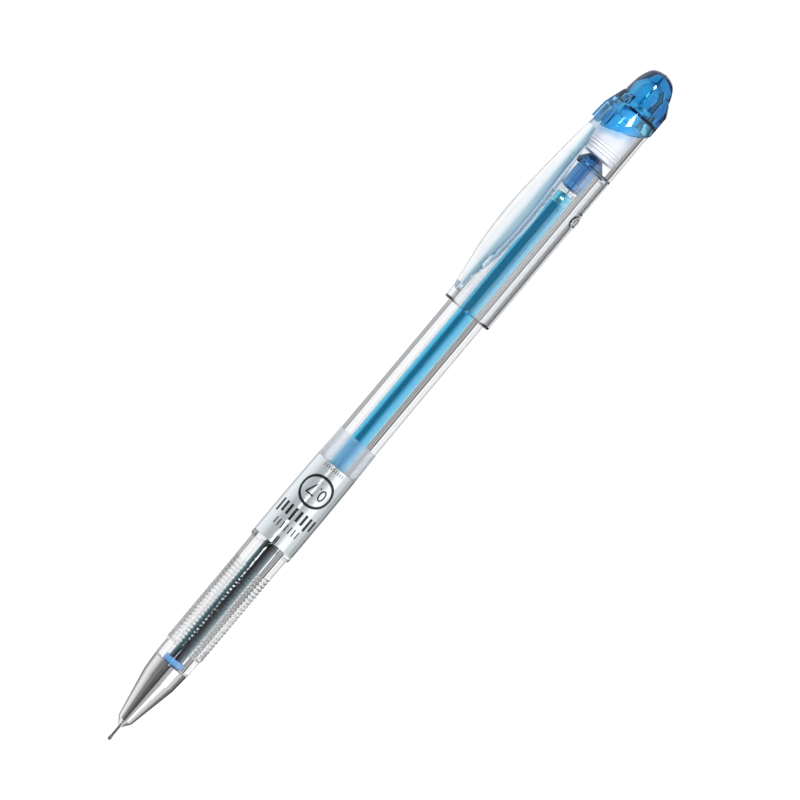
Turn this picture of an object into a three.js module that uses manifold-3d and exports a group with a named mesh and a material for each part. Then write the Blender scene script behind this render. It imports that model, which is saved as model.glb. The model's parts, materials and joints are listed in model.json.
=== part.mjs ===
// A capped gel pen with a needle tip, lying on its side with the cap posted on the barrel's tail.
// Millimetres. The pen's own axis is +Y while it is built: "along" is the distance from the front of the
// writing ball, and the clip is on the +Z side. The last group rolls it on to its clip and lays it along X.
import * as THREE from "three";
import { mergeVertices } from "three/addons/utils/BufferGeometryUtils.js";
import Module from "manifold-3d";

const wasm = await Module();
wasm.setup();

// ---------- driving dimensions ----------
const PEN_LENGTH = 148.85; // writing ball to crown, cap posted
const ROUND = 32; // sides of a large turned piece
const ROUND_SMALL = 20; // sides of a small one
const PLAY = 0.1; // clearance between pieces that slide or turn on each other

const BALL_RADIUS = 0.25;
const NEEDLE_RADIUS = 0.24;
const SOCKET_RADIUS = 0.32; // the tube is swelled round the ball
const NEEDLE_END = 8;

const CONE_FRONT = 3.1;
const CONE_BACK = 16.8; // the metal cone butts on the barrel's shoulder
const CONE_BREAK = 13.4; // where the steep taper turns into the shallow one
const CONE_TIP_RADIUS = 1.4;
const CONE_BREAK_RADIUS = 3.22;
const CONE_BACK_RADIUS = 3.47;

const SPIGOT_FRONT = 12.6; // barrel spigot that the cone screws on to
const SPIGOT_RADIUS = 2.45;
const THREAD_PITCH = 1;
const THREAD_HEIGHT = 0.2;
const THREAD_START = 13;
const THREAD_END = 16.5;
const THREAD_ROWS = 4; // rows of points to each turn of thread

const BARREL_SHOULDER = 16.9;
const BARREL_END = 127.6;
const BARREL_RADIUS = 3.84;
const BORE_RADIUS = 2;
const GRIP_RADIUS = 3.8;
const GRIP_FIRST_RING = 20.75;
const GRIP_RING_PITCH = 0.735;
const GRIP_RINGS = 25;
const GRIP_GROOVE = 0.1;
const CAP_STOP = 43; // step that the cap's mouth meets when it is on the nose
const LABEL_START = 44.1;
const LABEL_END = 61;
const MARGIN_END = 66.8;
const LABEL_SEAT_RADIUS = 4.1;
const FILM_THICKNESS = 0.06;
const FILM_GAP = 0.02;

const TUBE_RADIUS = 1.63;
const TUBE_BORE = 1.2;
const TUBE_START = 44.2;
const TUBE_END = 122.6;
const FEED_RADIUS = 1.4;
const FEED_START = 18.2;
const FEED_SHOULDER = 44;
const FEED_END = 47;
const INK_END = 120;
const FOLLOWER_END = 122.2;

const CAP_MOUTH = 95.5;
const CAP_RADIUS = 4.82;
const CAP_BORE = 4;
const CAP_NECK_START = 120.6; // the cap is a little slimmer behind its detents
const CAP_NECK_RADIUS = 4.66;
const CAP_STOP_SHOULDER = 128.1;
const CAP_SEAT_BORE = 3.5; // bore that the inner cap is pushed into
const CAP_SPIGOT_RADIUS = 4.12; // under the crown's skirt
const CAP_TOP = 141.6;
const DETENT_ALONG = 119.2;
const DETENT_RADIUS = 1.2;
const DETENT_ANGLES = [108, 252]; // degrees round from the clip

const SKIRT_EDGE = 137.3; // crown's slanted front edge, at its middle
const SKIRT_SLANT = 2.4; // how far it leans forward on the clip side
const SKIRT_RADIUS = 4.86;
const INNER_CAP_FRONT = 130.4;
const INNER_CAP_RADIUS = 3.4;
const INNER_CAP_BACK = 140.6;
const SEAL_FACE = 138.5; // the needle's tip reaches here when the cap is on the nose
const SEAL_RADIUS = 1.4;

const CLIP_TIP = 97.5;
const CLIP_ROOT = 138.4;
const CLIP_HEIGHT = 6.42; // flat outer panel of the leaf, from the pen's axis
const CLIP_HALF_WIDTH = 2.93;
const CLIP_PANEL = 0.4; // share of the leaf's width that is flat
const CLIP_DROOP = 0.35; // how far the leaf's edges lie below its panel
const CLIP_EDGE = 0.35; // thickness at the leaf's edges
const CLIP_RIM_GAP = 0.33; // between the cap and the rims under the leaf's edges
const CLIP_THICKNESS = 0.75;
const CLIP_NUB_UNDERSIDE = 4.95; // the nub at the tip just clears the cap
const CLIP_NOTCH_HALF_WIDTH = 1.1;
const CLIP_BOSS_HALF_WIDTH = 1.55;

// ---------- tools ----------
const point = (radius, along) => new THREE.Vector2(radius, along);

// A turned solid. The profile runs clockwise as seen with the radius to the right, so that its faces point out.
function turned(profile, sides = ROUND) {
  const area = THREE.ShapeUtils.area(profile);
  const ordered = area < 0 ? [...profile].reverse() : profile;
  const closed = ordered[0].x === 0 ? ordered : [...ordered, ordered[0]];
  return new THREE.LatheGeometry(closed, sides);
}

// Leans the rows of a turned solid: leanAt(along) is how far forward the clip side moves.
function leaned(geometry, leanAt) {
  const p = geometry.getAttribute("position");
  for (let i = 0; i < p.count; i++) {
    const radius = Math.hypot(p.getX(i), p.getZ(i));
    if (radius > 0) p.setY(i, p.getY(i) - (leanAt(p.getY(i)) * p.getZ(i)) / radius);
  }
  return geometry;
}

// Raises a right-handed thread on the rows of a turned solid between THREAD_START and THREAD_END. It fades
// in at the front; at the back it either fades out or runs full into the thread's mouth.
function threaded(geometry, threadRadius, backFade) {
  const p = geometry.getAttribute("position");
  for (let i = 0; i < p.count; i++) {
    const radius = Math.hypot(p.getX(i), p.getZ(i));
    const along = p.getY(i);
    if (Math.abs(radius - threadRadius) > 0.01 || along <= THREAD_START || along > THREAD_END) continue;
    const turns = along / THREAD_PITCH - Math.atan2(p.getX(i), p.getZ(i)) / (2 * Math.PI);
    const wave = 1 - Math.abs(2 * (turns - Math.floor(turns)) - 1);
    const fade = Math.min(1, (along - THREAD_START) * 2, (THREAD_END - along) * 2 + backFade);
    const scale = (radius + THREAD_HEIGHT * wave * fade) / radius;
    p.setX(i, p.getX(i) * scale);
    p.setZ(i, p.getZ(i) * scale);
  }
  return geometry;
}

const threadRows = (radius) => {
  const rows = Math.round(((THREAD_END - THREAD_START) * THREAD_ROWS) / THREAD_PITCH);
  return Array.from({ length: rows + 1 }, (_, i) =>
    point(radius, THREAD_START + ((THREAD_END - THREAD_START) * i) / rows),
  );
};

const toSolid = (geometry) => {
  const bare = geometry.index ? geometry.toNonIndexed() : geometry.clone();
  bare.deleteAttribute("normal");
  bare.deleteAttribute("uv");
  const merged = mergeVertices(bare, 1e-4);
  return new wasm.Manifold(
    new wasm.Mesh({
      numProp: 3,
      vertProperties: merged.getAttribute("position").array,
      triVerts: new Uint32Array(merged.index.array),
    }),
  );
};

const toGeometry = (solid) => {
  const mesh = solid.getMesh();
  return new THREE.BufferGeometry()
    .setAttribute("position", new THREE.BufferAttribute(mesh.vertProperties, 3))
    .setIndex(new THREE.BufferAttribute(mesh.triVerts, 1));
};

// A slab whose outline lies in the pen's length and height plane, centred across the clip.
function sideSlab(outline, halfWidth) {
  const shape = new THREE.Shape(outline.map(([along, height]) => point(-height, along)));
  return new THREE.ExtrudeGeometry(shape, { depth: 2 * halfWidth, bevelEnabled: false })
    .translate(0, 0, -halfWidth)
    .rotateY(Math.PI / 2);
}

const plastic = (color, opacity = 1) =>
  new THREE.MeshStandardMaterial({ color, roughness: 0.15, metalness: 0, transparent: opacity < 1, opacity });
const metal = (color, roughness) => new THREE.MeshStandardMaterial({ color, roughness, metalness: 1 });

const CLEAR = plastic(0xf2f6fa, 0.3);
const BLUE_CLEAR = plastic(0x2a86d0, 0.6);
const WHITE = plastic(0xf4f4f2);
const STEEL = metal(0xc9cdd2, 0.2);

const pen = new THREE.Group();
const add = (name, geometry, material) => {
  const mesh = new THREE.Mesh(geometry, material);
  mesh.name = name;
  pen.add(mesh);
};

// ---------- refill ----------
function writingBall() {
  return new THREE.SphereGeometry(BALL_RADIUS, 12, 8).translate(0, BALL_RADIUS, 0);
}

function needleTube() {
  const canal = 0.11;
  const socket = BALL_RADIUS + 0.015;
  const lip = BALL_RADIUS - 0.01;
  const head = SOCKET_RADIUS;
  return turned(
    [
      point(lip, 0.15),
      point(head - 0.02, 0.15),
      point(head, 0.25),
      point(head, 0.6),
      point(NEEDLE_RADIUS, 0.85),
      point(NEEDLE_RADIUS, NEEDLE_END),
      point(canal, NEEDLE_END),
      point(canal, 0.7),
      point(socket, 0.52),
      point(socket, BALL_RADIUS),
    ],
    ROUND_SMALL,
  );
}

function tipHolder() {
  const canal = 0.5;
  const stem = 1.5;
  return turned(
    [
      point(NEEDLE_RADIUS + 0.02, 4.6),
      point(0.5, 4.6),
      point(1, 6.6),
      point(1.4, 10.4),
      point(2.3, 11.4),
      point(2.3, SPIGOT_FRONT - 0.05),
      point(stem, SPIGOT_FRONT - 0.05),
      point(stem, FEED_START - 0.05),
      point(canal, FEED_START - 0.05),
      point(canal, NEEDLE_END + 0.1),
      point(NEEDLE_RADIUS + 0.02, NEEDLE_END + 0.1),
    ],
    ROUND_SMALL,
  );
}

function refillCollar() {
  const inner = 1.55;
  const outer = BORE_RADIUS - 0.06;
  return turned([point(inner, 17), point(outer, 17), point(outer, 18.1), point(inner, 18.1)], ROUND_SMALL);
}

function feedTube() {
  const bore = 0.8;
  const plug = TUBE_BORE - 0.03;
  return turned(
    [
      point(bore, FEED_START),
      point(FEED_RADIUS, FEED_START),
      point(FEED_RADIUS, FEED_SHOULDER),
      point(plug, FEED_SHOULDER + 0.2),
      point(plug, FEED_END),
      point(bore, FEED_END),
    ],
    ROUND_SMALL,
  );
}

function inkTube() {
  return turned(
    [
      point(TUBE_BORE, TUBE_START),
      point(TUBE_RADIUS, TUBE_START),
      point(TUBE_RADIUS, TUBE_END),
      point(TUBE_BORE, TUBE_END),
    ],
    ROUND_SMALL,
  );
}

function inkColumn() {
  const wide = TUBE_BORE - 0.02;
  const slim = 0.76;
  return turned(
    [
      point(0, FEED_START + 0.1),
      point(slim, FEED_START + 0.1),
      point(slim, FEED_END + 0.1),
      point(wide, FEED_END + 0.2),
      point(wide, INK_END),
      point(0, INK_END),
    ],
    ROUND_SMALL,
  );
}

function inkFollower() {
  const radius = TUBE_BORE - 0.02;
  return turned(
    [point(0, INK_END + 0.05), point(radius, INK_END + 0.05), point(radius, FOLLOWER_END), point(0, FOLLOWER_END)],
    ROUND_SMALL,
  );
}

// ---------- nose ----------
function noseCone() {
  const threadBore = SPIGOT_RADIUS + PLAY;
  const wall = 0.45;
  return threaded(
    turned([
      point(0.34, CONE_FRONT),
      point(0.5, CONE_FRONT),
      point(0.6, CONE_FRONT + 0.35),
      point(CONE_TIP_RADIUS, CONE_FRONT + 1.4),
      point(CONE_BREAK_RADIUS, CONE_BREAK),
      point(CONE_BACK_RADIUS, CONE_BACK),
      point(threadBore + THREAD_HEIGHT, CONE_BACK),
      ...threadRows(threadBore).reverse(),
      point(threadBore, SPIGOT_FRONT - 0.4),
      point(2.5, 11.6),
      point(1.2, 6),
      point(CONE_TIP_RADIUS - wall - 0.2, CONE_FRONT + 1.7),
      point(0.34, CONE_FRONT + 1.1),
    ]),
    threadBore,
    1,
  );
}

// ---------- barrel ----------
function barrel() {
  const rings = Array.from({ length: GRIP_RINGS }, (_, i) => GRIP_FIRST_RING + i * GRIP_RING_PITCH).flatMap(
    (along) => [point(GRIP_RADIUS - GRIP_GROOVE, along - GRIP_RING_PITCH / 2), point(GRIP_RADIUS, along)],
  );
  return threaded(
    turned([
      point(BORE_RADIUS, SPIGOT_FRONT),
      point(SPIGOT_RADIUS, SPIGOT_FRONT),
      ...threadRows(SPIGOT_RADIUS),
      point(SPIGOT_RADIUS, BARREL_SHOULDER),
      point(3.5, BARREL_SHOULDER),
      point(3.5, 20),
      ...rings,
      point(GRIP_RADIUS - 0.02, 39.4),
      point(GRIP_RADIUS, 41.2),
      point(BARREL_RADIUS, CAP_STOP),
      point(4.12, CAP_STOP),
      point(4.22, CAP_STOP + 0.3),
      point(4.22, LABEL_START - 0.3),
      point(LABEL_SEAT_RADIUS, LABEL_START - 0.15),
      point(LABEL_SEAT_RADIUS, 53),
      point(4.02, LABEL_END),
      point(3.88, MARGIN_END),
      point(BARREL_RADIUS, 79),
      point(BARREL_RADIUS, BARREL_END - 0.3),
      point(BARREL_RADIUS - 0.2, BARREL_END),
      point(BORE_RADIUS, BARREL_END),
    ]),
    SPIGOT_RADIUS,
    0,
  );
}

// A film wrapped on the label seat: stations are [radius of the barrel, along].
function film(stations) {
  const inner = stations.map(([radius, along]) => point(radius + FILM_GAP, along));
  const outer = stations.map(([radius, along]) => point(radius + FILM_GAP + FILM_THICKNESS, along)).reverse();
  return turned([...inner, ...outer]);
}

function tailPlug() {
  const stem = BORE_RADIUS - 0.05;
  return turned(
    [
      point(1.1, 123),
      point(stem, 123.3),
      point(stem, BARREL_END + 0.05),
      point(3.25, BARREL_END + 0.05),
      point(3.25, BARREL_END + 0.4),
      point(1.35, 130.25),
      point(0.5, 130.25),
      point(0.5, 124.5),
      point(1.1, 124.5),
    ],
    ROUND_SMALL,
  );
}

// ---------- cap ----------
function capBody() {
  const shell = leaned(
    turned([
      point(CAP_BORE + 0.2, CAP_MOUTH),
      point(CAP_RADIUS - 0.2, CAP_MOUTH),
      point(CAP_RADIUS, CAP_MOUTH + 0.4),
      point(CAP_RADIUS, CAP_NECK_START),
      point(CAP_NECK_RADIUS, CAP_NECK_START + 0.5),
      point(CAP_NECK_RADIUS, SKIRT_EDGE - 0.15),
      point(CAP_SPIGOT_RADIUS, SKIRT_EDGE - 0.1),
      point(CAP_SPIGOT_RADIUS, 139.9),
      point(3.1, 140.6),
      point(3.1, CAP_TOP),
      point(0, CAP_TOP),
      point(0, 140.9),
      point(2.3, 140.9),
      point(2.3, 138.3),
      point(CAP_SEAT_BORE, 138.2),
      point(CAP_SEAT_BORE, CAP_STOP_SHOULDER + 0.3),
      point(CAP_BORE, CAP_STOP_SHOULDER),
      point(CAP_BORE, CAP_MOUTH + 0.3),
    ]),
    (along) => (Math.abs(along - SKIRT_EDGE) < 0.2 ? SKIRT_SLANT : 0),
  );
  let solid = toSolid(shell);
  for (const angle of DETENT_ANGLES) {
    const dimple = new THREE.SphereGeometry(DETENT_RADIUS, 14, 10)
      .scale(1, 1, 0.4)
      .translate(0, DETENT_ALONG, CAP_RADIUS - 0.12)
      .rotateY(THREE.MathUtils.degToRad(angle));
    solid = solid.add(toSolid(dimple));
  }
  return toGeometry(solid);
}

function innerCap() {
  const ribs = [131.3, 131.9, 132.5].flatMap((along) => [
    point(INNER_CAP_RADIUS - 0.1, along - 0.15),
    point(INNER_CAP_RADIUS + 0.06, along),
    point(INNER_CAP_RADIUS - 0.1, along + 0.15),
  ]);
  return turned(
    [
      point(2.5, INNER_CAP_FRONT),
      point(INNER_CAP_RADIUS - 0.1, INNER_CAP_FRONT),
      ...ribs,
      point(INNER_CAP_RADIUS, 133.2),
      point(INNER_CAP_RADIUS, 138),
      point(2.2, 138.1),
      point(2.2, INNER_CAP_BACK),
      point(0, INNER_CAP_BACK),
      point(0, 140.35),
      point(SEAL_RADIUS + 0.05, 140.35),
      point(SEAL_RADIUS + 0.05, 135.8),
      point(1.7, 134.2),
    ],
    ROUND_SMALL,
  );
}

function tipSeal() {
  return turned(
    [point(0, SEAL_FACE + 0.3), point(0.4, SEAL_FACE), point(SEAL_RADIUS, SEAL_FACE), point(SEAL_RADIUS, 140.3),
      point(0, 140.3)],
    ROUND_SMALL,
  );
}

// The crown's outer rows lean by different amounts, so that its band is deep opposite the clip.
function crown() {
  const rows = [
    // radius, along, lean
    [SKIRT_RADIUS - 0.1, SKIRT_EDGE, SKIRT_SLANT],
    [SKIRT_RADIUS, SKIRT_EDGE + 0.15, SKIRT_SLANT],
    [SKIRT_RADIUS, 139.95, 4.4],
    [3.85, 143.3, 2.3],
    [3.66, 144.7, 0.9],
    [3.3, 146.2, 0.3],
    [2.45, 147.85, 0],
    [1.3, 148.6, 0],
    [0, PEN_LENGTH, 0],
  ];
  const hollow = [
    [0, 146.4, 0],
    [1.4, 145.9, 0],
    [2.2, 144.6, 0],
    [2.2, 141.75, 0],
    [3.25, 141.7, 0],
    [3.25, 140.55, 0],
    [CAP_SPIGOT_RADIUS + 0.1, 140, 0],
    [CAP_SPIGOT_RADIUS + 0.1, SKIRT_EDGE - 0.001, SKIRT_SLANT],
  ];
  const all = [...rows, ...hollow];
  const leanAt = (along) => all.find((row) => Math.abs(row[1] - along) < 2e-4)?.[2] ?? 0;
  const body = toSolid(leaned(turned(all.map(([radius, along]) => point(radius, along)).reverse()), leanAt));
  const boss = toSolid(
    sideSlab(
      [
        [135.3, 4.4],
        [135.3, 5.85],
        [138.6, 5.5],
        [142.4, 3.9],
        [142.4, 3],
        [140.8, 3.5],
        [140.2, CAP_SPIGOT_RADIUS + 0.1],
        [135.6, CAP_SPIGOT_RADIUS + 0.1],
      ],
      CLIP_BOSS_HALF_WIDTH,
    ),
  );
  const notch = toSolid(
    sideSlab(
      [
        [134, 4.95],
        [138.7, 4.8],
        [138.7, 7],
        [134, 7],
      ],
      CLIP_NOTCH_HALF_WIDTH,
    ),
  );
  return toGeometry(body.add(boss).subtract(notch));
}

// ---------- clip ----------
// The leaf's stations: [along, half-width, height of the outer face, height of the inner face, share of the rim].
const LEAF = [
  [CLIP_TIP, 0.5, 5.45, CLIP_NUB_UNDERSIDE + 0.15, 0],
  [98.2, 0.95, 5.75, CLIP_NUB_UNDERSIDE, 0],
  [100.5, 1.3, 6.02, CLIP_NUB_UNDERSIDE, 0],
  [101.6, 1.42, 6.12, 5.35, 0.5],
  [103.4, 1.7, 6.25, 5.5, 1],
  [106, 2.2, CLIP_HEIGHT, CLIP_HEIGHT - CLIP_THICKNESS, 1],
  [109, 2.62, CLIP_HEIGHT, CLIP_HEIGHT - CLIP_THICKNESS, 1],
  [113.5, CLIP_HALF_WIDTH, CLIP_HEIGHT, CLIP_HEIGHT - CLIP_THICKNESS, 1],
  [117, 2.8, CLIP_HEIGHT, CLIP_HEIGHT - CLIP_THICKNESS, 1],
  [121, 2.45, CLIP_HEIGHT, CLIP_HEIGHT - CLIP_THICKNESS, 1],
  [126, 2, 6.25, 5.5, 1],
  [131, 1.55, 6, 5.27, 0.8],
  [134.4, 1.05, 5.82, 5.12, 0],
  [136, 0.95, 5.74, 5.08, 0],
  [CLIP_ROOT, 0.95, 5.6, 5.02, 0],
];

// One cross-section of the leaf: a flat panel with drooping edges, outer face first, then the inner face back.
// A rim under each edge reaches down until it just clears the cap.
function leafSection([along, half, outer, inner, rim]) {
  const droop = (CLIP_DROOP * half) / CLIP_HALF_WIDTH;
  const plain = outer - droop - Math.min(CLIP_EDGE, (outer - inner) / 2);
  const nearCap = Math.sqrt((CAP_RADIUS + CLIP_RIM_GAP) ** 2 - half ** 2);
  const edge = plain + rim * (nearCap - plain);
  const panel = half * CLIP_PANEL;
  return [
    [-half, outer - droop],
    [-panel, outer],
    [panel, outer],
    [half, outer - droop],
    [half, edge],
    [panel, inner],
    [-panel, inner],
    [-half, edge],
  ].map(([across, height]) => [across, along, height]);
}

function clip() {
  const sections = LEAF.map(leafSection);
  const n = sections[0].length;
  const index = [];
  for (let s = 0; s + 1 < sections.length; s++) {
    for (let i = 0; i < n; i++) {
      const [a, b] = [s * n + i, s * n + ((i + 1) % n)];
      index.push(a, b, a + n, b, b + n, a + n);
    }
  }
  const last = (sections.length - 1) * n;
  for (let i = 1; i + 1 < n; i++) {
    index.push(0, i + 1, i);
    index.push(last, last + i, last + i + 1);
  }
  return new THREE.BufferGeometry()
    .setAttribute("position", new THREE.Float32BufferAttribute(sections.flat(2), 3))
    .setIndex(index);
}

// ---------- assembly ----------
add("writing_ball", writingBall(), metal(0x9aa0a6, 0.1));
add("needle_tube", needleTube(), STEEL);
add("tip_holder", tipHolder(), plastic(0x1b2b3a));
add("refill_collar", refillCollar(), BLUE_CLEAR);
add("feed_tube", feedTube(), plastic(0x10181f, 0.9));
add("ink_tube", inkTube(), plastic(0xdfeaf2, 0.4));
add("ink_column", inkColumn(), plastic(0x129fd6));
add("ink_follower", inkFollower(), plastic(0x9fd4ec, 0.6));
add("nose_cone", noseCone(), metal(0xd8dadc, 0.12));
add("barrel", barrel(), CLEAR);
add(
  "label_film",
  film([
    [LABEL_SEAT_RADIUS, LABEL_START],
    [LABEL_SEAT_RADIUS, 53],
    [4.02, LABEL_END - 0.03],
  ]),
  metal(0xdfe4e8, 0.35),
);
add(
  "film_margin",
  film([
    [4.02, LABEL_END + 0.03],
    [3.88, MARGIN_END],
  ]),
  plastic(0xeef3f7, 0.5),
);
add("tail_plug", tailPlug(), BLUE_CLEAR);
add("cap_body", capBody(), CLEAR);
add("inner_cap", innerCap(), WHITE);
add("tip_seal", tipSeal(), plastic(0xd9d9d4));
add("crown", crown(), BLUE_CLEAR);
add("clip", clip(), CLEAR);

// Rolled until the cap and the clip's edge both touch the table, laid along X with the tip towards +X, and
// stood on the origin.
const clipEdge = CLIP_HEIGHT - CLIP_DROOP;
const clipReach = Math.hypot(clipEdge, CLIP_HALF_WIDTH);
const restAngle = Math.asin(CAP_RADIUS / clipReach) - Math.atan2(CLIP_HALF_WIDTH, clipEdge);
pen.rotation.y = -(Math.PI / 2 + restAngle);
const laid = new THREE.Group();
laid.add(pen);
laid.rotation.z = Math.PI / 2;
const box = new THREE.Box3().setFromObject(laid, true);
laid.position.set(-(box.min.x + box.max.x) / 2, -(box.min.y + box.max.y) / 2, -box.min.z);

export default new THREE.Group().add(laid);
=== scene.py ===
import json
import math

import bmesh
import bpy
from mathutils import Matrix, Vector


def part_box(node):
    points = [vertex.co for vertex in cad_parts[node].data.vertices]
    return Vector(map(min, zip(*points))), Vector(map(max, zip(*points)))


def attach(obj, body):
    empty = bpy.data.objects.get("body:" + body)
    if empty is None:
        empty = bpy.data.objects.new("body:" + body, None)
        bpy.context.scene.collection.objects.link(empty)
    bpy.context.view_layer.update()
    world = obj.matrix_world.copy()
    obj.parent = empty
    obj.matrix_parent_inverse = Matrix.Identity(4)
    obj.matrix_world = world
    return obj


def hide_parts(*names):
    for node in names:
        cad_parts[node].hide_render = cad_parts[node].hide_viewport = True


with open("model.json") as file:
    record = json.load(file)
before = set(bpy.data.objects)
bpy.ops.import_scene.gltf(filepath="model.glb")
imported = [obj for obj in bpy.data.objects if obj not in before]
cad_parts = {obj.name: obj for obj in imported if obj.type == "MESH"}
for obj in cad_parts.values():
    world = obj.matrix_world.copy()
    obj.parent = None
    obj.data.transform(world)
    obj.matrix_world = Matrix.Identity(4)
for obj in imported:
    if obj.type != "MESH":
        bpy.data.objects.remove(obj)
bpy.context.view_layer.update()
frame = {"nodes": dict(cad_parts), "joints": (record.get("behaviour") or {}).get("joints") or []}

# ---------------------------------------------------------------------------------------------------------
# Sizes, in millimetres. "along" is the distance from the front of the writing ball, on the pen's own axis.
# ---------------------------------------------------------------------------------------------------------
MM = 0.001
PEN_LENGTH = 148.85
SIDES = 128  # round a turned piece
THIN_SIDES = 64  # round a slim one
CORNER_HOLD = 0.05  # from the end of a rounded corner to the wall that stays straight
SHARP_ANGLE = 32  # degrees between two faces, above which their edge stays sharp
WORKED_SHARP_ANGLE = 40  # the same, on the grooved and threaded pieces and the clip's leaf

BALL_RADIUS = 0.25
NEEDLE_RADIUS = 0.24
SOCKET_RADIUS = 0.32
NEEDLE_END = 8

CONE_FRONT = 3.1
CONE_BREAK = 13.4
CONE_BACK = 16.8
CONE_TIP_RADIUS = 1.4
CONE_BREAK_RADIUS = 3.22
CONE_BACK_RADIUS = 3.47

SPIGOT_FRONT = 12.6
SPIGOT_RADIUS = 2.45
THREAD_START = 13
THREAD_END = 16.5
THREAD_PITCH = 1
THREAD_HEIGHT = 0.2
THREAD_PLAY = 0.1
THREAD_STEP = 0.06  # between the rows of points that the thread is raised on
THREAD_REACH = 0.02  # how far from the threaded skin a point still counts as on it

BARREL_SHOULDER = 16.9
BARREL_SHOULDER_RADIUS = 3.54
BARREL_WINDOW_END = 20
BARREL_WINDOW_RADIUS = 3.56
BARREL_END = 127.6
BARREL_RADIUS = 3.84
BORE_RADIUS = 2
GRIP_RADIUS = 3.8
GRIP_START = 20.6
GRIP_END = 38.8
GRIP_PITCH = 0.735
GRIP_DEPTH = 0.16
GROOVE_HALF_WIDTH = 0.17
GROOVE_ROWS = 14  # rows of points to each groove
CAP_STOP = 43
CAP_STOP_RADIUS = 4.22
LABEL_START = 44.1
LABEL_RADIUS = 4.1
LABEL_TAPER = 53
LABEL_END = 61
LABEL_END_RADIUS = 4.02
MARGIN_END = 66.8
MARGIN_END_RADIUS = 3.88
BARREL_TAPER_END = 79
FILM_THICKNESS = 0.06
FILM_GAP = 0.02
PLUG_FRONT = 123
PLUG_END = 130.25
PLUG_FLANGE_RADIUS = 3.25

TUBE_RADIUS = 1.63
TUBE_BORE = 1.2
TUBE_START = 44.2
TUBE_END = 122.6
FEED_START = 18.2
FEED_SHOULDER = 44
FEED_END = 47
FEED_RADIUS = 1.4
INK_END = 120
FOLLOWER_END = 122.2

CAP_MOUTH = 95.5
CAP_RADIUS = 4.82
CAP_BORE = 4
CAP_NECK_START = 120.6
CAP_NECK_RADIUS = 4.66
CAP_SHOULDER = 128.1
CAP_SEAT_BORE = 3.5
CAP_SPIGOT_RADIUS = 4.12
CAP_SPIGOT_END = 140
CAP_TOP = 141.6
CAP_TOP_RADIUS = 3.1
CAP_POCKET_RADIUS = 2.3
CAP_POCKET_END = 140.9
DETENT_ALONG = 119.2
DETENT_RADIUS = 1.2
DETENT_HEIGHT = 0.36
DETENT_ANGLES = (108, 252)

SKIRT_EDGE = 137.3
SKIRT_SLANT = 2.4
SKIRT_RADIUS = 4.86
INNER_CAP_FRONT = 130.4
INNER_CAP_RADIUS = 3.4
INNER_CAP_RIBS = (131.3, 131.9, 132.5)
INNER_CAP_SHOULDER = 138
INNER_CAP_BORE = 1.45

CLIP_HEIGHT = 6.42
CLIP_DROOP = 0.35
CLIP_THICKNESS = 0.75
CLIP_RIM_GAP = 0.33
CLIP_HALF_WIDTH = 2.93
CLIP_ROOT = 138.4
CLIP_FACE_START = 99
CLIP_FACE_END = 134
NUB_UNDERSIDE = 4.95

CAMERA_ELEVATION = 28
CAMERA_DISTANCE = 762.5
CAMERA_LENS = 200
CAMERA_AIM_ALONG = 76.8
CAMERA_AIM_UP = 0.9
PEN_SLOPE = 50.0  # how steeply the pen climbs across the view, in degrees

CLEAR_BOUNCES = 28  # of light inside clear pieces
TABLE_HALF_WIDTH = 1.5  # metres
FRONT_BANDS = [
    # millimetres on the table behind the pen, in front being below zero; brightness in reflections
    (-13, 0.12),
    (-3, 0.95),
]
SHADOW_LINE_BANDS = [
    # the same, for a painted shadow line on the table, which clear pieces gather into a painted shade down
    # their middle
    (9.4, 0.95),
    (10.3, 0.2),
    (11, 0.2),
    (12, 0.95),
]
LAMPS = [
    # name, place in metres, width and height in metres, power in watts
    ("softbox", (0.1, -0.25, 0.9), (0.9, 0.6), 1.5),
    ("glint", (0.103, -0.97, 0.245), (0.046, 0.15), 0.4),
    ("key", (-0.6, -0.72, 0.33), (0.22, 0.22), 3.6),
]
STUDIO_BANDS = [
    # degrees round the pen, from the horizon in front over the top to the horizon behind; brightness
    (0, 0.12),
    (24, 0.1),
    (28, 0.0),
    (33, 0.0),
    (35, 0.5),
    (60, 0.5),
    (95, 0.75),
    (128, 0.7),
    (136, 0.1),
    (146, 0.45),
    (160, 0.35),
    (166, 0.05),
    (180, 0.05),
]

# ---------------------------------------------------------------------------------------------------------
# Where the pen lies: its own axes, and the matrix from millimetres on the pen to metres in the row frame.
# ---------------------------------------------------------------------------------------------------------
ACROSS = -Vector(next(j["axis"] for j in frame["joints"] if j["name"] == "clip_flex")).normalized()
ALONG = Vector((-1, 0, 0))
OUT = ACROSS.cross(ALONG)
barrel_low, barrel_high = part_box("barrel")
AXIS_START = (barrel_low + barrel_high) / 2
AXIS_START.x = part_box("writing_ball")[1].x
PLACE = (
    Matrix.Translation(AXIS_START)
    @ Matrix((ACROSS, ALONG, OUT)).transposed().to_4x4()
    @ Matrix.Scale(MM, 4)
)


# ---------------------------------------------------------------------------------------------------------
# Making meshes
# ---------------------------------------------------------------------------------------------------------
def piece(name, bm, material, sharp_angle=SHARP_ANGLE):
    """A new object from a mesh in pen millimetres, smooth but for its real edges."""
    mesh = bpy.data.meshes.new(name)
    bm.to_mesh(mesh)
    bm.free()
    mesh.shade_smooth()
    mesh.set_sharp_from_angle(angle=math.radians(sharp_angle))
    mesh.materials.append(material)
    obj = bpy.data.objects.new(name, mesh)
    bpy.context.scene.collection.objects.link(obj)
    return obj


def settle(obj, body, *replaced):
    """Lays a finished piece in the row frame, on its body."""
    obj.data.transform(PLACE)
    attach(obj, body)
    if replaced:
        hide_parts(*replaced)
    return obj


def signed_area(profile):
    return sum(a[0] * b[1] - b[0] * a[1] for a, b in zip(profile, profile[1:] + profile[:1])) / 2


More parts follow.
